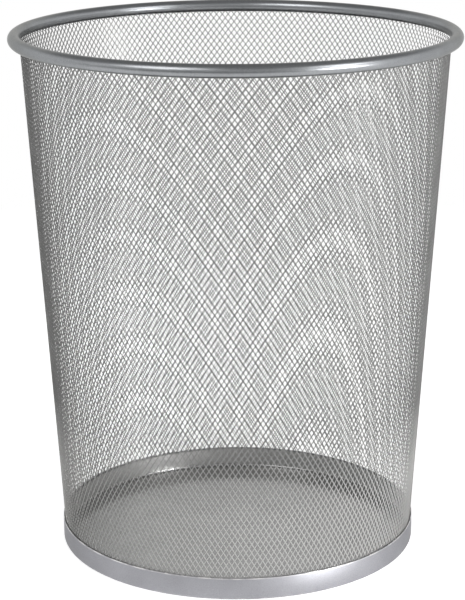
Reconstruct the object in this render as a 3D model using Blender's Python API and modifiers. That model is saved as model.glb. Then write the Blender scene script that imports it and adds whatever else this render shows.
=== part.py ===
"""Round mesh wastebasket: a steel floor pan, an outer foot band, a tapered wall of
expanded metal and a slit steel tube as the rim. All of it is turned about +Z. The wall
has a plain grid of openings here, which stands for its much finer diamond mesh."""

import math

import bmesh
import bpy

# Driving sizes, in metres
BASKET_HEIGHT = 0.348
RIM_DIAMETER = 0.295
RIM_TUBE_DIAMETER = 0.0085
RIM_TUBE_WALL = 0.0006
BASE_DIAMETER = 0.241
BAND_HEIGHT = 0.0144
BAND_SHEET = 0.0006
BAND_EDGE_RADIUS = 0.0009
PAN_SHEET = 0.0006
PAN_BEND_RADIUS = 0.0021
MESH_THICKNESS = 0.0008
MESH_BEND_RADIUS = 0.003
MESH_BAR_HEIGHT = 0.006
TUCK_RUN = 0.0022
TUCK_DEPTH = 0.0016
CLEARANCE = 0.0003

# The slit faces down and inwards, measured in the tube's section from the outward side
SLIT_DIRECTION = math.radians(232)

# The grid of openings in the mesh, round the wall and up it
MESH_COLUMNS = 20
MESH_ROWS = 8

# Facets of the turned shapes. In the mesh, each column of the grid is one facet of bar
# and for the rest openings
COLUMN_STEPS = 4
turn_steps = MESH_COLUMNS * COLUMN_STEPS
TUBE_OUTER_STEPS = 18
TUBE_INNER_STEPS = 12
BEND_STEPS = 4
MERGE_DISTANCE = 0.00001

# A bend takes up at most this share of the straight run on either side of it
LONGEST_BEND_SHARE = 0.9

# Radii and heights that follow from the driving sizes
band_outer_radius = BASE_DIAMETER / 2
mesh_foot_radius = band_outer_radius - BAND_SHEET - CLEARANCE - MESH_THICKNESS / 2
flange_outer_radius = mesh_foot_radius - MESH_THICKNESS / 2 - CLEARANCE
flange_height = BAND_HEIGHT - CLEARANCE
tube_radius = RIM_TUBE_DIAMETER / 2
tube_bore_radius = tube_radius - RIM_TUBE_WALL
rim_ring_radius = RIM_DIAMETER / 2 - tube_radius
rim_ring_height = BASKET_HEIGHT - tube_radius
slit_half_width = MESH_THICKNESS / 2 + CLEARANCE

# Color, roughness and metallic value of each piece's paint
PAINTS = {
    "pan_paint": ((0.36, 0.36, 0.37, 1.0), 0.22, 0.7),
    "band_paint": ((0.46, 0.46, 0.49, 1.0), 0.34, 0.55),
    "mesh_paint": ((0.36, 0.36, 0.37, 1.0), 0.38, 0.55),
    "rim_paint": ((0.36, 0.36, 0.37, 1.0), 0.26, 0.65),
}


def clear_scene():
    for old_object in list(bpy.data.objects):
        bpy.data.objects.remove(old_object, do_unlink=True)


def make_collection(name):
    collection = bpy.data.collections.new(name)
    bpy.context.scene.collection.children.link(collection)
    return collection


def painted_steel(name):
    color, roughness, metallic = PAINTS[name]
    material = bpy.data.materials.new(name)
    material.use_nodes = True
    shader = material.node_tree.nodes["Principled BSDF"]
    shader.inputs["Base Color"].default_value = color
    shader.inputs["Roughness"].default_value = roughness
    shader.inputs["Metallic"].default_value = metallic
    material.diffuse_color = color
    return material


def arc(center, radius, start_angle, end_angle, steps):
    """Points on a circle of the section plane, both ends included."""
    points = []
    for step in range(steps + 1):
        angle = start_angle + (end_angle - start_angle) * step / steps
        x = center[0] + radius * math.cos(angle)
        z = center[1] + radius * math.sin(angle)
        points.append((x, z))
    return points


def bent_corner(before, corner, after, radius):
    """The arc of a sheet's bend at a corner, tangent to the straight runs on both sides."""
    in_x, in_z = before[0] - corner[0], before[1] - corner[1]
    out_x, out_z = after[0] - corner[0], after[1] - corner[1]
    in_length = math.hypot(in_x, in_z)
    out_length = math.hypot(out_x, out_z)
    in_x, in_z = in_x / in_length, in_z / in_length
    out_x, out_z = out_x / out_length, out_z / out_length
    half_angle = math.acos(in_x * out_x + in_z * out_z) / 2
    longest_run = LONGEST_BEND_SHARE * min(in_length, out_length)
    tangent_run = min(radius / math.tan(half_angle), longest_run)
    bend_radius = tangent_run * math.tan(half_angle)
    middle_x, middle_z = in_x + out_x, in_z + out_z
    middle_length = math.hypot(middle_x, middle_z)
    center_run = bend_radius / math.sin(half_angle)
    center = (
        corner[0] + middle_x / middle_length * center_run,
        corner[1] + middle_z / middle_length * center_run,
    )
    start = (corner[0] + in_x * tangent_run, corner[1] + in_z * tangent_run)
    end = (corner[0] + out_x * tangent_run, corner[1] + out_z * tangent_run)
    start_angle = math.atan2(start[1] - center[1], start[0] - center[0])
    sweep = math.atan2(end[1] - center[1], end[0] - center[0]) - start_angle
    sweep = math.remainder(sweep, math.tau)
    return arc(center, bend_radius, start_angle, start_angle + sweep, BEND_STEPS)


def section_of(profile, closed):
    """The line of a profile in the XZ plane."""
    section = bmesh.new()
    points = [section.verts.new((x, 0.0, z)) for x, z in profile]
    for first, second in zip(points, points[1:]):
        section.edges.new((first, second))
    if closed:
        section.edges.new((points[-1], points[0]))
    return section


def painted_object(name, shape, material, collection):
    mesh = bpy.data.meshes.new(name)
    shape.to_mesh(mesh)
    shape.free()
    mesh.materials.append(material)
    painted = bpy.data.objects.new(name, mesh)
    collection.objects.link(painted)
    return painted


def turned_object(name, profile, closed, material, collection):
    """A profile turned about Z. It runs down its outer side."""
    turned = painted_object(name, section_of(profile, closed), material, collection)
    screw = turned.modifiers.new("Turn", "SCREW")
    screw.axis = "Z"
    screw.angle = math.tau
    screw.steps = turn_steps
    screw.render_steps = turn_steps
    screw.use_merge_vertices = True
    screw.merge_threshold = MERGE_DISTANCE
    screw.use_smooth_shade = True
    return turned


def give_sheet_thickness(sheet, thickness, offset):
    solidify = sheet.modifiers.new("Sheet", "SOLIDIFY")
    solidify.thickness = thickness
    solidify.offset = offset
    solidify.use_even_offset = True


def make_base_pan(collection):
    """Flat floor with its flange turned up inside the mesh."""
    flange_top = (flange_outer_radius, flange_height)
    corner = (flange_outer_radius, 0.0)
    floor_center = (0.0, 0.0)
    bend = bent_corner(flange_top, corner, floor_center, PAN_BEND_RADIUS)
    profile = [flange_top, *bend, floor_center]
    pan = turned_object("base_pan", profile, False, painted_steel("pan_paint"), collection)
    give_sheet_thickness(pan, PAN_SHEET, -1.0)
    return pan


def make_base_band(collection):
    """Foot band outside the mesh, its lower edge turned in under the mesh's end."""
    bend_center_radius = flange_outer_radius - PAN_BEND_RADIUS
    lip_drop = PAN_BEND_RADIUS - BAND_SHEET
    lip_reach = math.sqrt((PAN_BEND_RADIUS + CLEARANCE) ** 2 - lip_drop**2)
    band_top = (band_outer_radius, BAND_HEIGHT)
    corner = (band_outer_radius, 0.0)
    lip_end = (bend_center_radius + lip_reach, 0.0)
    bend = bent_corner(band_top, corner, lip_end, BAND_EDGE_RADIUS)
    profile = [band_top, *bend, lip_end]
    band = turned_object("base_band", profile, False, painted_steel("band_paint"), collection)
    give_sheet_thickness(band, BAND_SHEET, -1.0)
    return band


def grid_heights(top, bottom):
    """Upper and lower ends of the openings along the straight run between two points."""
    run = math.dist(top, bottom)
    pitch = (run - MESH_BAR_HEIGHT) / MESH_ROWS
    heights = []
    for row in range(MESH_ROWS):
        for along in (MESH_BAR_HEIGHT + row * pitch, (row + 1) * pitch):
            share = along / run
            x = top[0] + (bottom[0] - top[0]) * share
            z = top[1] + (bottom[1] - top[1]) * share
            heights.append((x, z))
    return heights


def spin_about_axis(shape, angle, steps, copies):
    bmesh.ops.spin(
        shape,
        geom=shape.verts[:] + shape.edges[:] + shape.faces[:],
        cent=(0.0, 0.0, 0.0),
        axis=(0.0, 0.0, 1.0),
        angle=angle,
        steps=steps,
        use_duplicate=copies,
    )


def open_grid(column, edges):
    """Leaves the column's first facet as an upright bar and opens its rows beside it."""
    bar_angle = math.tau / turn_steps
    openings = []
    for face in column.faces:
        center = face.calc_center_median()
        beside_bar = math.atan2(center.y, center.x) > bar_angle
        for (_, upper), (_, lower) in zip(edges[0::2], edges[1::2]):
            if beside_bar and lower < center.z < upper:
                openings.append(face)
    bmesh.ops.delete(column, geom=openings, context="FACES")


def make_mesh_wall(collection):
    """Tapered sleeve of expanded metal, as a skin with a plain grid of openings."""
    inward_x = -math.cos(SLIT_DIRECTION)
    inward_z = -math.sin(SLIT_DIRECTION)
    tuck_start_run = tube_radius + TUCK_RUN
    tuck_end_run = tube_bore_radius - TUCK_DEPTH
    tuck_start = (
        rim_ring_radius - inward_x * tuck_start_run,
        rim_ring_height - inward_z * tuck_start_run,
    )
    tuck_end = (
        rim_ring_radius - inward_x * tuck_end_run,
        rim_ring_height - inward_z * tuck_end_run,
    )
    band_exit = (mesh_foot_radius, BAND_HEIGHT)
    foot = (mesh_foot_radius, BAND_SHEET + CLEARANCE)
    upper_bend = bent_corner(tuck_end, tuck_start, band_exit, MESH_BEND_RADIUS)
    grid = grid_heights(upper_bend[-1], band_exit)
    wall = section_of([tuck_end, *upper_bend, *grid, band_exit, foot], False)
    column_angle = math.tau / MESH_COLUMNS
    spin_about_axis(wall, column_angle, COLUMN_STEPS, False)
    open_grid(wall, grid)
    spin_about_axis(wall, math.tau - column_angle, MESH_COLUMNS - 1, True)
    bmesh.ops.remove_doubles(wall, verts=wall.verts[:], dist=MERGE_DISTANCE)
    bmesh.ops.recalc_face_normals(wall, faces=wall.faces[:])
    wall_object = painted_object("mesh_wall", wall, painted_steel("mesh_paint"), collection)
    wall_object.data.shade_smooth()
    give_sheet_thickness(wall_object, MESH_THICKNESS, 0.0)
    return wall_object


def make_rim_tube(collection):
    """Round tube bent to a ring. Its slit grips the mesh's upper edge."""
    outer_half_gap = math.asin(slit_half_width / tube_radius)
    inner_half_gap = math.asin(slit_half_width / tube_bore_radius)
    middle = (rim_ring_radius, 0.0)
    outer_start = SLIT_DIRECTION - outer_half_gap
    outer_end = SLIT_DIRECTION + outer_half_gap - math.tau
    inner_start = SLIT_DIRECTION + inner_half_gap - math.tau
    inner_end = SLIT_DIRECTION - inner_half_gap
    skin = arc(middle, tube_radius, outer_start, outer_end, TUBE_OUTER_STEPS)
    bore = arc(middle, tube_bore_radius, inner_start, inner_end, TUBE_INNER_STEPS)
    rim = turned_object("rim_tube", skin + bore, True, painted_steel("rim_paint"), collection)
    rim.location.z = rim_ring_height
    return rim


def build_basket():
    clear_scene()
    collection = make_collection("mesh_wastebasket")
    basket = bpy.data.objects.new("basket_axis", None)
    basket.empty_display_size = BASE_DIAMETER / 4
    collection.objects.link(basket)
    makers = (make_base_pan, make_base_band, make_mesh_wall, make_rim_tube)
    for make_piece in makers:
        piece = make_piece(collection)
        piece.parent = basket
    bpy.context.view_layer.update()


build_basket()
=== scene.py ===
import bmesh
import bpy
import math
from mathutils import Matrix, Vector


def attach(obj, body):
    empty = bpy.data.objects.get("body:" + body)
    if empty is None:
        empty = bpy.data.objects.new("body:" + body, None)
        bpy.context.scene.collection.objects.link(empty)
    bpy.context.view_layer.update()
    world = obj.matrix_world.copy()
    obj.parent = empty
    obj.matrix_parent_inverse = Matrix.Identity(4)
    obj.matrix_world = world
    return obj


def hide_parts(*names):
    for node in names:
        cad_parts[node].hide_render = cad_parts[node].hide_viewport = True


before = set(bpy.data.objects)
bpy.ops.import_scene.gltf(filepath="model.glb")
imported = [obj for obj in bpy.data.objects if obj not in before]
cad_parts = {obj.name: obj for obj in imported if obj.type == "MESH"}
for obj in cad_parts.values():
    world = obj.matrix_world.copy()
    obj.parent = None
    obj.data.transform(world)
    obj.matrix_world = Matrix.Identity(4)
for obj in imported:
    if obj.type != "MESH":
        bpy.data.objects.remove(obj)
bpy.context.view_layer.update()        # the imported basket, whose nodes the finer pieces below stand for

scene = bpy.context.scene
print("frame loaded:", sorted(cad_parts))


# Camera, at the photograph's viewing angle

photoCamera = {
    "lens": 117.73,
    "place": (0.0, -1.27161, 0.53131),
    "lookDown": 0.2808,      # radians below level
    "turn": 0.0022,          # to the left of straight on
    "roll": -0.0050,
    "nearest": 0.05,
    "farthest": 50.0,
}

camera = bpy.data.objects.new("photoCamera", bpy.data.cameras.new("photoCamera"))
camera.data.lens = photoCamera["lens"]
camera.data.clip_start = photoCamera["nearest"]
camera.data.clip_end = photoCamera["farthest"]
camera.matrix_world = (
    Matrix.Translation(photoCamera["place"])
    @ Matrix.Rotation(photoCamera["turn"], 4, "Z")
    @ Matrix.Rotation(math.pi / 2 - photoCamera["lookDown"], 4, "X")
    @ Matrix.Rotation(photoCamera["roll"], 4, "Z")
)
scene.collection.objects.link(camera)
scene.camera = camera
print("camera placed")


# Shader nodes shared by the materials

def addSocket(group, direction, kind, name, value=None):
    socket = group.interface.new_socket(name=name, in_out=direction, socket_type="NodeSocket" + kind)
    if value is not None:
        socket.default_value = value


def mathNode(tree, operation, first, second=None, clamp=False):
    node = tree.nodes.new("ShaderNodeMath")
    node.operation = operation
    node.use_clamp = clamp
    for slotNumber, value in enumerate((first, second)):
        if isinstance(value, bpy.types.NodeSocket):
            tree.links.new(value, node.inputs[slotNumber])
        elif value is not None:
            node.inputs[slotNumber].default_value = value
    return node.outputs[0]


def rangeNode(tree, value, fromLow, fromHigh, toLow, toHigh):
    node = tree.nodes.new("ShaderNodeMapRange")
    tree.links.new(value, node.inputs["Value"])
    ends = {"From Min": fromLow, "From Max": fromHigh, "To Min": toLow, "To Max": toHigh}
    for name, number in ends.items():
        if isinstance(number, bpy.types.NodeSocket):
            tree.links.new(number, node.inputs[name])
        else:
            node.inputs[name].default_value = number
    return node.outputs["Result"]


def noiseNode(tree, place, scale, detail):
    node = tree.nodes.new("ShaderNodeTexNoise")
    tree.links.new(place, node.inputs["Vector"])
    if isinstance(scale, bpy.types.NodeSocket):
        tree.links.new(scale, node.inputs["Scale"])
    else:
        node.inputs["Scale"].default_value = scale
    node.inputs["Detail"].default_value = detail
    return node.outputs["Fac"]


# Color made lighter or darker by a factor around 1
def shade(tree, color, factor):
    node = tree.nodes.new("ShaderNodeVectorMath")
    node.operation = "SCALE"
    tree.links.new(color, node.inputs[0])
    tree.links.new(factor, node.inputs["Scale"])
    return node.outputs[0]


# The Mix node has its two colors at inputs 6 and 7, and the mixed one at output 2
def mixColors(tree, mask, first, second):
    node = tree.nodes.new("ShaderNodeMix")
    node.data_type = "RGBA"
    tree.links.new(mask, node.inputs["Factor"])
    tree.links.new(first, node.inputs[6])
    tree.links.new(second, node.inputs[7])
    return node.outputs[2]


flakeLook = {
    "noiseSpan": (0.3, 0.7),     # noise values that turn darkest and lightest
    "flakeDetail": 1.0,
    "cloudScale": 45.0,
    "cloudDetail": 3.0,
    "peelDetail": 2.0,
    "glossShare": -0.25,         # a lighter flake is a little smoother
}


# Silver paint: metal flakes that sparkle, cloudy unevenness and a fine orange peel
def makeFlakePaint():
    group = bpy.data.node_groups.new("flakePaint", "ShaderNodeTree")
    addSocket(group, "INPUT", "Color", "Color", (0.3, 0.3, 0.3, 1.0))
    addSocket(group, "INPUT", "Float", "Roughness", 0.35)
    addSocket(group, "INPUT", "Float", "Flake Scale", 2600.0)
    addSocket(group, "INPUT", "Float", "Flake Amount", 0.2)
    addSocket(group, "INPUT", "Float", "Cloud Amount", 0.1)
    addSocket(group, "INPUT", "Float", "Peel Scale", 900.0)
    for kind, name in (("Color", "Color"), ("Float", "Roughness"), ("Float", "Height")):
        addSocket(group, "OUTPUT", kind, name)
    given = group.nodes.new("NodeGroupInput")
    place = group.nodes.new("ShaderNodeTexCoord").outputs["Object"]
    flakes = noiseNode(group, place, given.outputs["Flake Scale"], flakeLook["flakeDetail"])
    flakes = rangeNode(group, flakes, *flakeLook["noiseSpan"], -1.0, 1.0)
    clouds = noiseNode(group, place, flakeLook["cloudScale"], flakeLook["cloudDetail"])
    clouds = rangeNode(group, clouds, *flakeLook["noiseSpan"], -1.0, 1.0)
    flakeChange = mathNode(group, "MULTIPLY", flakes, given.outputs["Flake Amount"])
    cloudChange = mathNode(group, "MULTIPLY", clouds, given.outputs["Cloud Amount"])
    change = mathNode(group, "ADD", flakeChange, cloudChange)
    factor = mathNode(group, "ADD", change, 1.0)
    roughChange = mathNode(group, "MULTIPLY", change, flakeLook["glossShare"])
    roughFactor = mathNode(group, "ADD", roughChange, 1.0)
    peel = noiseNode(group, place, given.outputs["Peel Scale"], flakeLook["peelDetail"])
    result = group.nodes.new("NodeGroupOutput")
    group.links.new(shade(group, given.outputs["Color"], factor), result.inputs["Color"])
    roughness = mathNode(group, "MULTIPLY", given.outputs["Roughness"], roughFactor, clamp=True)
    group.links.new(roughness, result.inputs["Roughness"])
    group.links.new(peel, result.inputs["Height"])
    return group


wearAndPaintedLightLook = {
    "patchScale": 160.0,
    "patchDetail": 4.0,
    "patchSpan": (0.42, 0.62),   # noise values between a whole patch and a rubbed one
}


# Paint of another color and gloss near one height, for paint rubbed thin where hands, bags or the floor
# touch it, and for bands of painted light and painted shade. From the front, the mark is full as far back
# as the first of the two side inputs and has faded out at the second
def makeWearAndPaintedLight():
    group = bpy.data.node_groups.new("wearAndPaintedLight", "ShaderNodeTree")
    addSocket(group, "INPUT", "Color", "Color", (0.3, 0.3, 0.3, 1.0))
    addSocket(group, "INPUT", "Color", "Rubbed Color", (0.5, 0.5, 0.5, 1.0))
    addSocket(group, "INPUT", "Float", "Roughness", 0.35)
    addSocket(group, "INPUT", "Float", "Rubbed Roughness", 0.25)
    addSocket(group, "INPUT", "Float", "Edge Height", 0.0)
    addSocket(group, "INPUT", "Float", "Reach", 0.002)
    addSocket(group, "INPUT", "Float", "Amount", 0.5)
    addSocket(group, "INPUT", "Float", "Evenness", 0.0)
    addSocket(group, "INPUT", "Float", "Worn To", 1.0)
    addSocket(group, "INPUT", "Float", "Unworn From", 2.0)
    addSocket(group, "OUTPUT", "Color", "Color")
    addSocket(group, "OUTPUT", "Float", "Roughness")
    given = group.nodes.new("NodeGroupInput")
    place = group.nodes.new("ShaderNodeTexCoord").outputs["Object"]
    parts = group.nodes.new("ShaderNodeSeparateXYZ")
    group.links.new(place, parts.inputs[0])
    away = mathNode(group, "SUBTRACT", parts.outputs["Z"], given.outputs["Edge Height"])
    away = mathNode(group, "ABSOLUTE", away)
    nearness = mathNode(group, "DIVIDE", away, given.outputs["Reach"])
    nearness = mathNode(group, "SUBTRACT", 1.0, nearness, clamp=True)
    patches = noiseNode(group, place, wearAndPaintedLightLook["patchScale"], wearAndPaintedLightLook["patchDetail"])
    patches = rangeNode(group, patches, *wearAndPaintedLightLook["patchSpan"], given.outputs["Evenness"], 1.0)
    side = rangeNode(
        group, parts.outputs["Y"], given.outputs["Worn To"], given.outputs["Unworn From"], 1.0, 0.0
    )
    mask = mathNode(group, "MULTIPLY", nearness, patches)
    mask = mathNode(group, "MULTIPLY", mask, side)
    mask = mathNode(group, "MULTIPLY", mask, given.outputs["Amount"], clamp=True)
    result = group.nodes.new("NodeGroupOutput")
    color = mixColors(group, mask, given.outputs["Color"], given.outputs["Rubbed Color"])
    group.links.new(color, result.inputs["Color"])
    roughness = rangeNode(
        group, mask, 0.0, 1.0, given.outputs["Roughness"], given.outputs["Rubbed Roughness"]
    )
    group.links.new(roughness, result.inputs["Roughness"])
    return group


dustLook = {
    "middleShare": 0.35,         # dust in the middle, as a share of that by the flange
    "speckScale": 700.0,
    "speckDetail": 5.0,
    "speckSpan": (0.35, 0.7),
}


# Dull dust on the floor pan, thicker towards the flange
def makeSettledDust():
    group = bpy.data.node_groups.new("settledDust", "ShaderNodeTree")
    addSocket(group, "INPUT", "Color", "Color", (0.3, 0.3, 0.3, 1.0))
    addSocket(group, "INPUT", "Color", "Dust Color", (0.5, 0.48, 0.45, 1.0))
    addSocket(group, "INPUT", "Float", "Roughness", 0.2)
    addSocket(group, "INPUT", "Float", "Inner Radius", 0.08)
    addSocket(group, "INPUT", "Float", "Outer Radius", 0.118)
    addSocket(group, "INPUT", "Float", "Amount", 0.2)
    addSocket(group, "OUTPUT", "Color", "Color")
    addSocket(group, "OUTPUT", "Float", "Roughness")
    given = group.nodes.new("NodeGroupInput")
    place = group.nodes.new("ShaderNodeTexCoord").outputs["Object"]
    flat = group.nodes.new("ShaderNodeVectorMath")
    flat.operation = "MULTIPLY"
    flat.inputs[1].default_value = (1.0, 1.0, 0.0)
    group.links.new(place, flat.inputs[0])
    reach = group.nodes.new("ShaderNodeVectorMath")
    reach.operation = "LENGTH"
    group.links.new(flat.outputs[0], reach.inputs[0])
    outward = rangeNode(
        group, reach.outputs["Value"], given.outputs["Inner Radius"], given.outputs["Outer Radius"],
        dustLook["middleShare"], 1.0,
    )
    specks = noiseNode(group, place, dustLook["speckScale"], dustLook["speckDetail"])
    specks = rangeNode(group, specks, *dustLook["speckSpan"], 0.0, 1.0)
    mask = mathNode(group, "MULTIPLY", outward, specks)
    mask = mathNode(group, "MULTIPLY", mask, given.outputs["Amount"], clamp=True)
    result = group.nodes.new("NodeGroupOutput")
    color = mixColors(group, mask, given.outputs["Color"], given.outputs["Dust Color"])
    group.links.new(color, result.inputs["Color"])
    roughness = mathNode(group, "ADD", given.outputs["Roughness"], mask, clamp=True)
    group.links.new(roughness, result.inputs["Roughness"])
    return group


flakePaint = makeFlakePaint()
wearAndPaintedLight = makeWearAndPaintedLight()
settledDust = makeSettledDust()


def useGroup(tree, group, links=None, **values):
    node = tree.nodes.new("ShaderNodeGroup")
    node.node_tree = group
    for name, value in values.items():
        node.inputs[name.replace("_", " ")].default_value = value
    for name, socket in (links or {}).items():
        tree.links.new(socket, node.inputs[name])
    return node


# Painted steel; paint holds the color, gloss, flakes, peel, rubbed edges, bands of painted light and
# shade, and dust. Each such band is its height, how far it reaches up and down, how strong it is and how
# evenly it covers
def silverPaint(name, paint):
    material = bpy.data.materials.new(name)
    material.use_nodes = True
    tree = material.node_tree
    shader = tree.nodes["Principled BSDF"]
    shader.inputs["Metallic"].default_value = paint["metallic"]
    shader.inputs["Specular IOR Level"].default_value = paint["specular"]
    shader.inputs["Specular Tint"].default_value = paint["edgeTint"]
    shader.inputs["Coat Weight"].default_value = paint["coat"]
    shader.inputs["Coat Roughness"].default_value = paint["coatRoughness"]
    flakes = useGroup(
        tree, flakePaint, Color=paint["color"], Roughness=paint["roughness"],
        Flake_Scale=paint["flakeScale"], Flake_Amount=paint["flakeAmount"],
        Cloud_Amount=paint["cloudAmount"], Peel_Scale=paint["peelScale"],
    )
    color, roughness = flakes.outputs["Color"], flakes.outputs["Roughness"]
    for height, reach, amount, evenness in paint["wearAndPaintedLightBands"]:
        wearAndLightNode = useGroup(
            tree, wearAndPaintedLight, {"Color": color, "Roughness": roughness},
            Rubbed_Color=paint["wearAndPaintedLightColor"], Rubbed_Roughness=paint["wearAndPaintedLightRoughness"],
            Edge_Height=height, Reach=reach, Amount=amount, Evenness=evenness,
            Worn_To=paint["wearAndPaintedLightSide"][0], Unworn_From=paint["wearAndPaintedLightSide"][1],
        )
        color, roughness = wearAndLightNode.outputs["Color"], wearAndLightNode.outputs["Roughness"]
    if paint["dustAmount"]:
        dust = useGroup(
            tree, settledDust, {"Color": color, "Roughness": roughness},
            Dust_Color=paint["dustColor"], Amount=paint["dustAmount"],
        )
        color, roughness = dust.outputs["Color"], dust.outputs["Roughness"]
    tree.links.new(color, shader.inputs["Base Color"])
    tree.links.new(roughness, shader.inputs["Roughness"])
    bump = tree.nodes.new("ShaderNodeBump")
    bump.inputs["Strength"].default_value = paint["peelStrength"]
    bump.inputs["Distance"].default_value = paint["peelDepth"]
    tree.links.new(flakes.outputs["Height"], bump.inputs["Height"])
    tree.links.new(bump.outputs["Normal"], shader.inputs["Normal"])
    return material


allRound = (1.0, 2.0)    # a side range that takes in all of the basket
print("shared paint groups made")


# Meshes and objects

sheetWork = {
    "weldDistance": 0.000001,
    "sharpAngle": math.radians(60),      # edges that turn more than this are cut edges
    "edgeSteps": 2,
}


def meshFrom(shape, name):
    mesh = bpy.data.meshes.new(name)
    shape.to_mesh(mesh)
    shape.free()
    return mesh


def addPiece(name, mesh, material, node):
    mesh.materials.append(material)
    piece = bpy.data.objects.new(name, mesh)
    scene.collection.objects.link(piece)
    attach(piece, "root")
    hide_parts(node)


# The corners of a section, given as radius and height, joined by edges
def sectionLine(shape, corners):
    points = [shape.verts.new((radius, 0.0, height)) for radius, height in corners]
    for first, second in zip(points, points[1:]):
        shape.edges.new((first, second))
    return points


def roundCorner(shape, corner, cutBack, steps):
    bmesh.ops.bevel(
        shape, geom=[corner], offset=cutBack, offset_type="OFFSET", segments=steps,
        profile=0.5, affect="VERTICES", material=-1,
    )


# Spins the section about the basket's axis and gives it the thickness of its sheet
def turnSheet(shape, turnSteps, sheet):
    bmesh.ops.spin(
        shape, geom=shape.verts[:] + shape.edges[:], cent=(0, 0, 0), axis=(0, 0, 1),
        angle=math.tau, steps=turnSteps, use_merge=True, use_duplicate=False,
    )
    bmesh.ops.remove_doubles(shape, verts=shape.verts[:], dist=sheetWork["weldDistance"])
    bmesh.ops.recalc_face_normals(shape, faces=shape.faces[:])
    bmesh.ops.solidify(shape, geom=shape.faces[:], thickness=sheet)
    for face in shape.faces:
        face.smooth = True


# Rounds the cut edges of a sheet, where two faces meet at nearly a right angle
def softenSheetEdges(shape, width):
    sharp = [edge for edge in shape.edges if edge.calc_face_angle(0.0) > sheetWork["sharpAngle"]]
    bmesh.ops.bevel(
        shape, geom=sharp, offset=width, offset_type="OFFSET", segments=sheetWork["edgeSteps"],
        profile=0.5, affect="EDGES", material=-1,
    )
    for face in shape.faces:
        face.smooth = True


# Rim tube

rimTube = {
    "ringRadius": 0.14325,
    "ringHeight": 0.34375,
    "tubeRadius": 0.00423,
    "sheet": 0.0006,
    "slitDirection": math.radians(232),      # down and inwards, measured from the outward side
    "slitHalfWidth": 0.0011,
    "sectionSteps": 44,
    "turnSteps": 288,
    "edgeRound": 0.00012,
    "paint": {
        "color": (0.295, 0.305, 0.318, 1.0), "roughness": 0.3, "metallic": 0.9, "specular": 0.5,
        "edgeTint": (0.55, 0.55, 0.53, 1.0),
        "coat": 0.05, "coatRoughness": 0.12,
        "flakeScale": 2400.0, "flakeAmount": 0.22, "cloudAmount": 0.08,
        "peelScale": 700.0, "peelStrength": 0.25, "peelDepth": 0.0001,
        "wearAndPaintedLightColor": (0.42, 0.41, 0.39, 1.0), "wearAndPaintedLightRoughness": 0.3,
        "wearAndPaintedLightBands": ((0.348, 0.0012, 0.4, 0.0),), "wearAndPaintedLightSide": allRound, "dustAmount": 0.0,
    },
}


def makeRimTube():
    ring = Vector((rimTube["ringRadius"], 0.0, rimTube["ringHeight"]))
    halfGap = math.asin(rimTube["slitHalfWidth"] / rimTube["tubeRadius"])
    startAngle = rimTube["slitDirection"] + halfGap
    shape = bmesh.new()
    toStart = Vector((math.cos(startAngle), 0.0, math.sin(startAngle)))
    start = shape.verts.new(ring + rimTube["tubeRadius"] * toStart)
    bmesh.ops.spin(
        shape, geom=[start], cent=ring, axis=(0, -1, 0), angle=math.tau - 2 * halfGap,
        steps=rimTube["sectionSteps"], use_merge=False, use_duplicate=False,
    )
    turnSheet(shape, rimTube["turnSteps"], rimTube["sheet"])
    softenSheetEdges(shape, rimTube["edgeRound"])
    paint = silverPaint("rimPaint", rimTube["paint"])
    addPiece("rimTube", meshFrom(shape, "rimTube"), paint, "rim_tube")
    print("rim tube turned")


# Wall of expanded metal

meshWall = {
    "diamondsRound": 210,
    "panels": 6,
    "strandWidth": 0.00055,
    "thickness": 0.00022,
    "louvre": (-0.11, -0.07),    # slopes of each opening outwards, to its right and upwards
    "footRadius": 0.1192,
    "footHeight": 0.0009,
    "bandTop": 0.0144,
    "tuckStart": 0.00645,        # how far from the middle of the rim tube, along its slit
    "tuckEnd": 0.00205,
    "bendCutBack": 0.00093,
    "bendSteps": 6,
    "spareColumns": 1,           # made beside each panel and cut off again
    "cutShare": 0.25,            # the sheet is cut a quarter of a diamond past a crossing
    "solveRounds": 6,            # rounds in which a lattice point settles on its place
    # Rows of diamonds up to a height, in powers of that height, from -1 at the floor to 1 at the rim
    "middleHeight": 0.175,
    "rows": (29.5467, 30.558, 0.9661, 0.1515),
    # Tilt of the rows and sway of the columns around the basket, as shares of the cosine and sine of
    # the angle: first at the middle height, then what is added from there to the rim
    "rowTilt": ((-0.0793, 0.0703), (0.0963, -0.034)),
    "columnSway": ((0.0009, 0.0946), (-0.063, 0.0716)),
    "columnSwayTwice": (-0.1916, 0.0035),        # of twice the angle
    # Columns drift to the right going up, because the sheet was rolled a little askew
    "lean": (0.1851, -0.5336, 0.159, 0.0774),
    "paint": {
        "color": (0.232, 0.232, 0.229, 1.0), "roughness": 0.34, "metallic": 0.8, "specular": 0.5,
        "edgeTint": (0.5, 0.5, 0.5, 1.0),
        "coat": 0.0, "coatRoughness": 0.1,
        "flakeScale": 3000.0, "flakeAmount": 0.2, "cloudAmount": 0.12,
        "peelScale": 1500.0, "peelStrength": 0.2, "peelDepth": 0.00005,
        # Strands painted lighter towards the foot on the front half: painted light, as if lit by the
        # floor in front
        "wearAndPaintedLightColor": (0.50, 0.497, 0.49, 1.0), "wearAndPaintedLightRoughness": 0.34,
        "wearAndPaintedLightBands": ((0.0, 0.105, 2.2, 0.9),),
        "wearAndPaintedLightSide": (-0.02, 0.06),       # the front half alone, where the lighter foot is painted light
        "dustAmount": 0.0,
    },
}


# Sums of powers and waves, which say how unevenly the mesh was stretched and rolled
def powers(factors, value):
    return sum(factor * value ** power for power, factor in enumerate(factors))


def wave(shares, angle):
    return shares[0] * math.cos(angle) + shares[1] * math.sin(angle)


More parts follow.
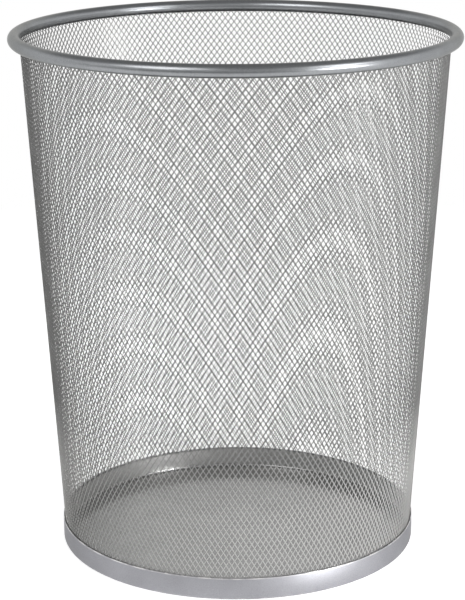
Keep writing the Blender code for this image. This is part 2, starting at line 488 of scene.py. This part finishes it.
# Heights up the wall with their radius and true height; past the bend they run along the tuck
def wallStations():
    slit = Vector((math.cos(rimTube["slitDirection"]), math.sin(rimTube["slitDirection"])))
    ring = Vector((rimTube["ringRadius"], rimTube["ringHeight"]))
    foot = Vector((meshWall["footRadius"], meshWall["footHeight"]))
    bandTop = Vector((meshWall["footRadius"], meshWall["bandTop"]))
    corner = ring + slit * meshWall["tuckStart"]
    tuckEnd = ring + slit * meshWall["tuckEnd"]
    bendStart = corner + (bandTop - corner).normalized() * meshWall["bendCutBack"]
    bendEnd = corner + (tuckEnd - corner).normalized() * meshWall["bendCutBack"]
    points = [foot, bandTop]
    for step in range(meshWall["bendSteps"] + 1):
        share = step / meshWall["bendSteps"]
        inPart, outPart = bendStart.lerp(corner, share), corner.lerp(bendEnd, share)
        points.append(inPart.lerp(outPart, share))
    points.append(tuckEnd)
    stations = [(point.y, point) for point in points[:3]]
    for point in points[3:]:
        height, before = stations[-1]
        stations.append((height + (point - before).length, point))
    return stations


stations = wallStations()
wallTop = stations[-1][0]


# Where a lattice point lies, from its column and row counted in diamonds
def onWall(column, row):
    turn = math.tau / meshWall["diamondsRound"]
    angle = column * turn
    level = row / meshWall["rows"][1] - 1.0
    for _ in range(meshWall["solveRounds"]):
        tiltStill, tiltRising = (wave(shares, angle) for shares in meshWall["rowTilt"])
        miss = powers(meshWall["rows"], level) + tiltStill + level * tiltRising - row
        level -= miss / meshWall["rows"][1]
        swayStill, swayRising = (wave(shares, angle) for shares in meshWall["columnSway"])
        sway = swayStill + level * swayRising + wave(meshWall["columnSwayTwice"], 2 * angle)
        angle = (column - powers(meshWall["lean"], level) - sway) * turn
    height = (level + 1.0) * meshWall["middleHeight"]
    for (low, lowPoint), (high, highPoint) in zip(stations, stations[1:]):
        if height <= high:
            break
    radius, trueHeight = lowPoint.lerp(highPoint, (height - low) / (high - low))
    return Vector((radius * math.sin(angle), -radius * math.cos(angle), trueHeight))


def rowAt(height):
    return powers(meshWall["rows"], height / meshWall["middleHeight"] - 1.0)


# A flat sheet of diamonds, poked into a grid and cut to one panel of the sleeve
def diamondSheet(number):
    columns = meshWall["diamondsRound"] // meshWall["panels"]
    firstColumn = number * columns
    gridColumns = columns + 2 * meshWall["spareColumns"]
    gridRows = math.ceil(rowAt(wallTop))
    shape = bmesh.new()
    bmesh.ops.create_grid(shape, x_segments=gridColumns, y_segments=gridRows, size=0.5)
    for vert in shape.verts:
        vert.co.x = (vert.co.x + 0.5) * gridColumns + firstColumn - meshWall["spareColumns"]
        vert.co.y = (vert.co.y + 0.5) * gridRows
    gridLines = [edge for edge in shape.edges if not edge.is_boundary]
    bmesh.ops.poke(shape, faces=shape.faces[:])
    bmesh.ops.dissolve_edges(shape, edges=gridLines, use_verts=False)
    outside = []
    cut = meshWall["cutShare"]
    for face in shape.faces:
        column = face.calc_center_median().x - firstColumn
        if not -cut < column < columns - cut:
            outside.append(face)
    bmesh.ops.delete(shape, geom=outside, context="FACES")
    topRow = math.floor(2 * (rowAt(wallTop) - cut)) / 2 + cut
    for cutRow, direction in ((cut, -1), (topRow, 1)):
        bmesh.ops.bisect_plane(
            shape, geom=shape.verts[:] + shape.edges[:] + shape.faces[:],
            plane_co=(0, cutRow, 0), plane_no=(0, direction, 0), clear_outer=True,
        )
    return shape


# Leans each opening out of the sheet, as the twisted strands of expanded metal do
def leanOpenings(openings):
    rightSlope, upSlope = meshWall["louvre"]
    for opening in openings:
        middle = opening.calc_center_median()
        outward = opening.normal.copy()
        toRight = Vector((0.0, 0.0, 1.0)).cross(outward)
        lean = toRight * rightSlope + outward.cross(toRight) * upSlope
        for vert in opening.verts:
            vert.co += outward * (vert.co - middle).dot(lean)


# One panel of the sleeve: diamonds laid on the wall, opened into strands and thickened
def makeWallPanel(number):
    shape = diamondSheet(number)
    for vert in shape.verts:
        vert.co = onWall(vert.co.x, vert.co.y)
    shape.normal_update()
    # The panel's outline shades as a sharp edge, and all that lies inside it as a smooth one
    for edge in shape.edges:
        edge.smooth = not edge.is_boundary
    openings = shape.faces[:]
    halfStrand = meshWall["strandWidth"] / 2
    bmesh.ops.inset_individual(shape, faces=openings, thickness=halfStrand, use_even_offset=True)
    shape.normal_update()
    leanOpenings(openings)
    bmesh.ops.delete(shape, geom=openings, context="FACES")
    shape.normal_update()
    for vert in shape.verts:
        vert.co += vert.normal * meshWall["thickness"] / 2
    bmesh.ops.solidify(shape, geom=shape.faces[:], thickness=meshWall["thickness"])
    for face in shape.faces:
        face.smooth = True
    return meshFrom(shape, "meshPanel%d" % (number + 1))


def makeMeshWall():
    material = silverPaint("meshPaint", meshWall["paint"])
    for number in range(meshWall["panels"]):
        mesh = makeWallPanel(number)
        addPiece(mesh.name, mesh, material, "mesh_wall")
    print("mesh wall opened:", meshWall["panels"], "panels of", len(mesh.polygons), "faces")


# Pressed floor pan

floorPan = {
    "flangeRadius": 0.1185,
    "flangeTop": 0.01395,
    "sheet": 0.0006,
    "bendRadius": 0.0021,
    "bendSteps": 8,
    "turnSteps": 288,
    "edgeRound": 0.00012,
    "paint": {
        "color": (0.385, 0.385, 0.38, 1.0), "roughness": 0.16, "metallic": 0.86, "specular": 0.5,
        "edgeTint": (1.0, 1.0, 1.0, 1.0),
        "coat": 0.0, "coatRoughness": 0.06,
        "flakeScale": 2000.0, "flakeAmount": 0.15, "cloudAmount": 0.08,
        "peelScale": 500.0, "peelStrength": 0.15, "peelDepth": 0.0001,
        # Above the bend the flange has rougher paint, and its color, a shade darker than the floor's, is
        # painted shade that dims a lamp's glint there
        "wearAndPaintedLightColor": (0.37, 0.37, 0.365, 1.0), "wearAndPaintedLightRoughness": 0.52,
        "wearAndPaintedLightBands": ((0.0141, 0.013, 3.0, 0.9),), "wearAndPaintedLightSide": allRound,
        "dustAmount": 0.1, "dustColor": (0.45, 0.43, 0.40, 1.0),
    },
}


def makeFloorPan():
    shape = bmesh.new()
    radius = floorPan["flangeRadius"]
    corners = sectionLine(shape, ((radius, floorPan["flangeTop"]), (radius, 0.0), (0.0, 0.0)))
    roundCorner(shape, corners[1], floorPan["bendRadius"], floorPan["bendSteps"])
    turnSheet(shape, floorPan["turnSteps"], floorPan["sheet"])
    softenSheetEdges(shape, floorPan["edgeRound"])
    paint = silverPaint("panPaint", floorPan["paint"])
    addPiece("floorPan", meshFrom(shape, "floorPan"), paint, "base_pan")
    print("floor pan pressed")


# Foot band

footBand = {
    "radius": 0.1205,
    "top": 0.01455,
    "lipRadius": 0.11827,
    "sheet": 0.0006,
    "edgeRadius": 0.0009,
    "bendSteps": 6,
    "turnSteps": 288,
    "edgeRound": 0.00012,
    "paint": {
        "color": (0.33, 0.33, 0.353, 1.0), "roughness": 0.48, "metallic": 1.0, "specular": 0.5,
        "edgeTint": (1.0, 1.0, 1.0, 1.0),
        "coat": 0.15, "coatRoughness": 0.25,
        "flakeScale": 2600.0, "flakeAmount": 0.12, "cloudAmount": 0.05,
        "peelScale": 900.0, "peelStrength": 0.15, "peelDepth": 0.00008,
        "wearAndPaintedLightColor": (0.75, 0.74, 0.74, 1.0), "wearAndPaintedLightRoughness": 0.3,
        # The top edge is painted lighter, a painted highlight over the shade and dark reflection in the
        # crevice there; the lower edge is paint rubbed by the floor
        "wearAndPaintedLightBands": ((0.0, 0.0016, 0.3, 0.0), (0.0144, 0.0008, 1.2, 0.25)),
        "wearAndPaintedLightSide": allRound, "dustAmount": 0.0,
    },
}


def makeFootBand():
    shape = bmesh.new()
    radius = footBand["radius"]
    lip = footBand["lipRadius"]
    corners = sectionLine(shape, ((radius, footBand["top"]), (radius, 0.0), (lip, 0.0)))
    roundCorner(shape, corners[1], footBand["edgeRadius"], footBand["bendSteps"])
    turnSheet(shape, footBand["turnSteps"], footBand["sheet"])
    softenSheetEdges(shape, footBand["edgeRound"])
    paint = silverPaint("bandPaint", footBand["paint"])
    addPiece("footBand", meshFrom(shape, "footBand"), paint, "base_band")
    print("foot band rolled")


makeRimTube()
makeMeshWall()
makeFloorPan()
makeFootBand()


# Studio: a plain white floor, soft lamps and an even pale world

studio = {
    "floorSize": 12.0,
    "floorGray": 0.8,
    "floorRoughness": 0.9,
    "floorSpecular": 0.1,
    "floorLift": 0.57,           # added for camera and reflections, so that the open floor is white
    # Close to the foot, at its sides and behind it, that lift fades in reflections: a painted shadow of
    # the basket, seen only in what the metal reflects
    "footShadeReach": (0.14, 0.22),
    "footShadeSide": (-0.09, -0.02),
    "footShadeLevel": 0.2,
    "floorReach": (0.55, 1.0),   # over this distance the floor turns plain and takes no lamp light
    "worldColor": (1.0, 1.0, 1.0, 1.0),
    "worldStrength": 0.55,
    # Metal reflects a white backdrop, and a dimmer room overhead and in front; the reaches are parts
    # of a direction of length 1, upwards and to the back
    "roomReach": (0.40, 0.65),
    "roomLevel": 0.25,
    "frontReach": (-0.85, -0.35),
    "frontLevel": 0.6,
    # The floor in front of the basket, towards the camera, is dimmer in reflections too
    "frontFloorReach": (-0.9, -0.45),
    "frontFloorLevel": 0.3,
    # name: degrees to the right of the camera, degrees up, distance, width, watts
    "lamps": {
        "sideLamp": (51.5, 1.0, 1.8, 0.32, 17.0),
        "rightLamp": (55.0, 32.0, 1.8, 0.7, 6.0),
        "leftLamp": (-38.0, 38.0, 1.8, 1.0, 8.5),
    },
    "aim": (0.0, 0.0, 0.15),
}


# 1 for rays that look straight at the studio, also through the basket
def seenStraight(tree, rays):
    return mathNode(tree, "MAXIMUM", rays.outputs["Is Camera Ray"], rays.outputs["Is Transmission Ray"])


# Matt near the basket, where it takes its shadow, and farther out a plain even white
def floorMaterial():
    material = bpy.data.materials.new("studioFloor")
    material.use_nodes = True
    tree = material.node_tree
    rays = tree.nodes.new("ShaderNodeLightPath")
    straight = seenStraight(tree, rays)
    place = tree.nodes.new("ShaderNodeTexCoord").outputs["Object"]
    distance = tree.nodes.new("ShaderNodeVectorMath")
    distance.operation = "LENGTH"
    tree.links.new(place, distance.inputs[0])
    away = distance.outputs["Value"]
    parts = tree.nodes.new("ShaderNodeSeparateXYZ")
    tree.links.new(place, parts.inputs[0])
    toBack = parts.outputs["Y"]

    # Painted shadow beside and behind the foot, in reflections only
    apart = rangeNode(tree, away, *studio["footShadeReach"], 0.0, 1.0)
    beside = rangeNode(tree, toBack, *studio["footShadeSide"], 1.0, studio["footShadeLevel"])
    footShade = mathNode(tree, "MAXIMUM", apart, beside)
    nearMirrored = mathNode(tree, "MULTIPLY", footShade, rays.outputs["Is Glossy Ray"])
    nearLevel = mathNode(tree, "MAXIMUM", straight, nearMirrored)
    near = tree.nodes["Principled BSDF"]
    near.inputs["Base Color"].default_value = (studio["floorGray"],) * 3 + (1.0,)
    near.inputs["Roughness"].default_value = studio["floorRoughness"]
    near.inputs["Specular IOR Level"].default_value = studio["floorSpecular"]
    near.inputs["Emission Color"].default_value = (1.0, 1.0, 1.0, 1.0)
    lift = mathNode(tree, "MULTIPLY", nearLevel, studio["floorLift"])
    tree.links.new(lift, near.inputs["Emission Strength"])

    farFront = rangeNode(tree, toBack, *studio["frontFloorReach"], studio["frontFloorLevel"], 1.0)
    farMirrored = mathNode(tree, "MULTIPLY", farFront, rays.outputs["Is Glossy Ray"])
    evenLevel = studio["worldStrength"] * studio["floorGray"]
    soft = mathNode(tree, "MULTIPLY", rays.outputs["Is Diffuse Ray"], evenLevel)
    farSeen = mathNode(tree, "MAXIMUM", farMirrored, straight)
    farLevel = mathNode(tree, "MAXIMUM", farSeen, soft)
    far = tree.nodes.new("ShaderNodeEmission")
    tree.links.new(farLevel, far.inputs["Strength"])

    farShare = rangeNode(tree, away, *studio["floorReach"], 0.0, 1.0)
    mix = tree.nodes.new("ShaderNodeMixShader")
    tree.links.new(farShare, mix.inputs[0])
    tree.links.new(near.outputs[0], mix.inputs[1])
    tree.links.new(far.outputs[0], mix.inputs[2])
    tree.links.new(mix.outputs[0], tree.nodes["Material Output"].inputs["Surface"])
    return material


def makeStudioFloor():
    shape = bmesh.new()
    bmesh.ops.create_grid(shape, x_segments=1, y_segments=1, size=studio["floorSize"] / 2)
    mesh = meshFrom(shape, "studioFloor")
    mesh.materials.append(floorMaterial())
    floor = bpy.data.objects.new("studioFloor", mesh)
    scene.collection.objects.link(floor)


def makeStudioWorld():
    world = bpy.data.worlds.new("studioWorld")
    world.use_nodes = True
    tree = world.node_tree
    evenLight = tree.nodes["Background"]
    evenLight.inputs["Color"].default_value = studio["worldColor"]
    evenLight.inputs["Strength"].default_value = studio["worldStrength"]
    white = tree.nodes.new("ShaderNodeBackground")
    white.inputs["Color"].default_value = (1.0, 1.0, 1.0, 1.0)
    direction = tree.nodes.new("ShaderNodeSeparateXYZ")
    tree.links.new(tree.nodes.new("ShaderNodeTexCoord").outputs["Generated"], direction.inputs[0])
    overhead = rangeNode(tree, direction.outputs["Z"], *studio["roomReach"], 1.0, studio["roomLevel"])
    inFront = rangeNode(tree, direction.outputs["Y"], *studio["frontReach"], studio["frontLevel"], 1.0)
    reflected = mathNode(tree, "MINIMUM", overhead, inFront)
    rays = tree.nodes.new("ShaderNodeLightPath")
    level = mathNode(tree, "MAXIMUM", reflected, rays.outputs["Is Camera Ray"])
    tree.links.new(level, white.inputs["Strength"])
    seen = mathNode(tree, "MAXIMUM", seenStraight(tree, rays), rays.outputs["Is Glossy Ray"])
    mix = tree.nodes.new("ShaderNodeMixShader")
    tree.links.new(seen, mix.inputs[0])
    tree.links.new(evenLight.outputs[0], mix.inputs[1])
    tree.links.new(white.outputs[0], mix.inputs[2])
    tree.links.new(mix.outputs[0], tree.nodes["World Output"].inputs["Surface"])
    scene.world = world


def makeLamps():
    aim = Vector(studio["aim"])
    for name, (right, up, distance, width, watts) in studio["lamps"].items():
        lamp = bpy.data.lights.new(name, "AREA")
        lamp.shape = "DISK"
        lamp.size = width
        lamp.energy = watts
        side, rise = math.radians(right), math.radians(up)
        flat = math.cos(rise)
        toLamp = Vector((math.sin(side) * flat, -math.cos(side) * flat, math.sin(rise)))
        holder = bpy.data.objects.new(name, lamp)
        holder.location = aim + toLamp * distance
        holder.rotation_euler = toLamp.to_track_quat("Z", "Y").to_euler()
        scene.collection.objects.link(holder)


makeStudioFloor()
makeStudioWorld()
makeLamps()
scene.view_settings.view_transform = "Standard"
print("studio lit")
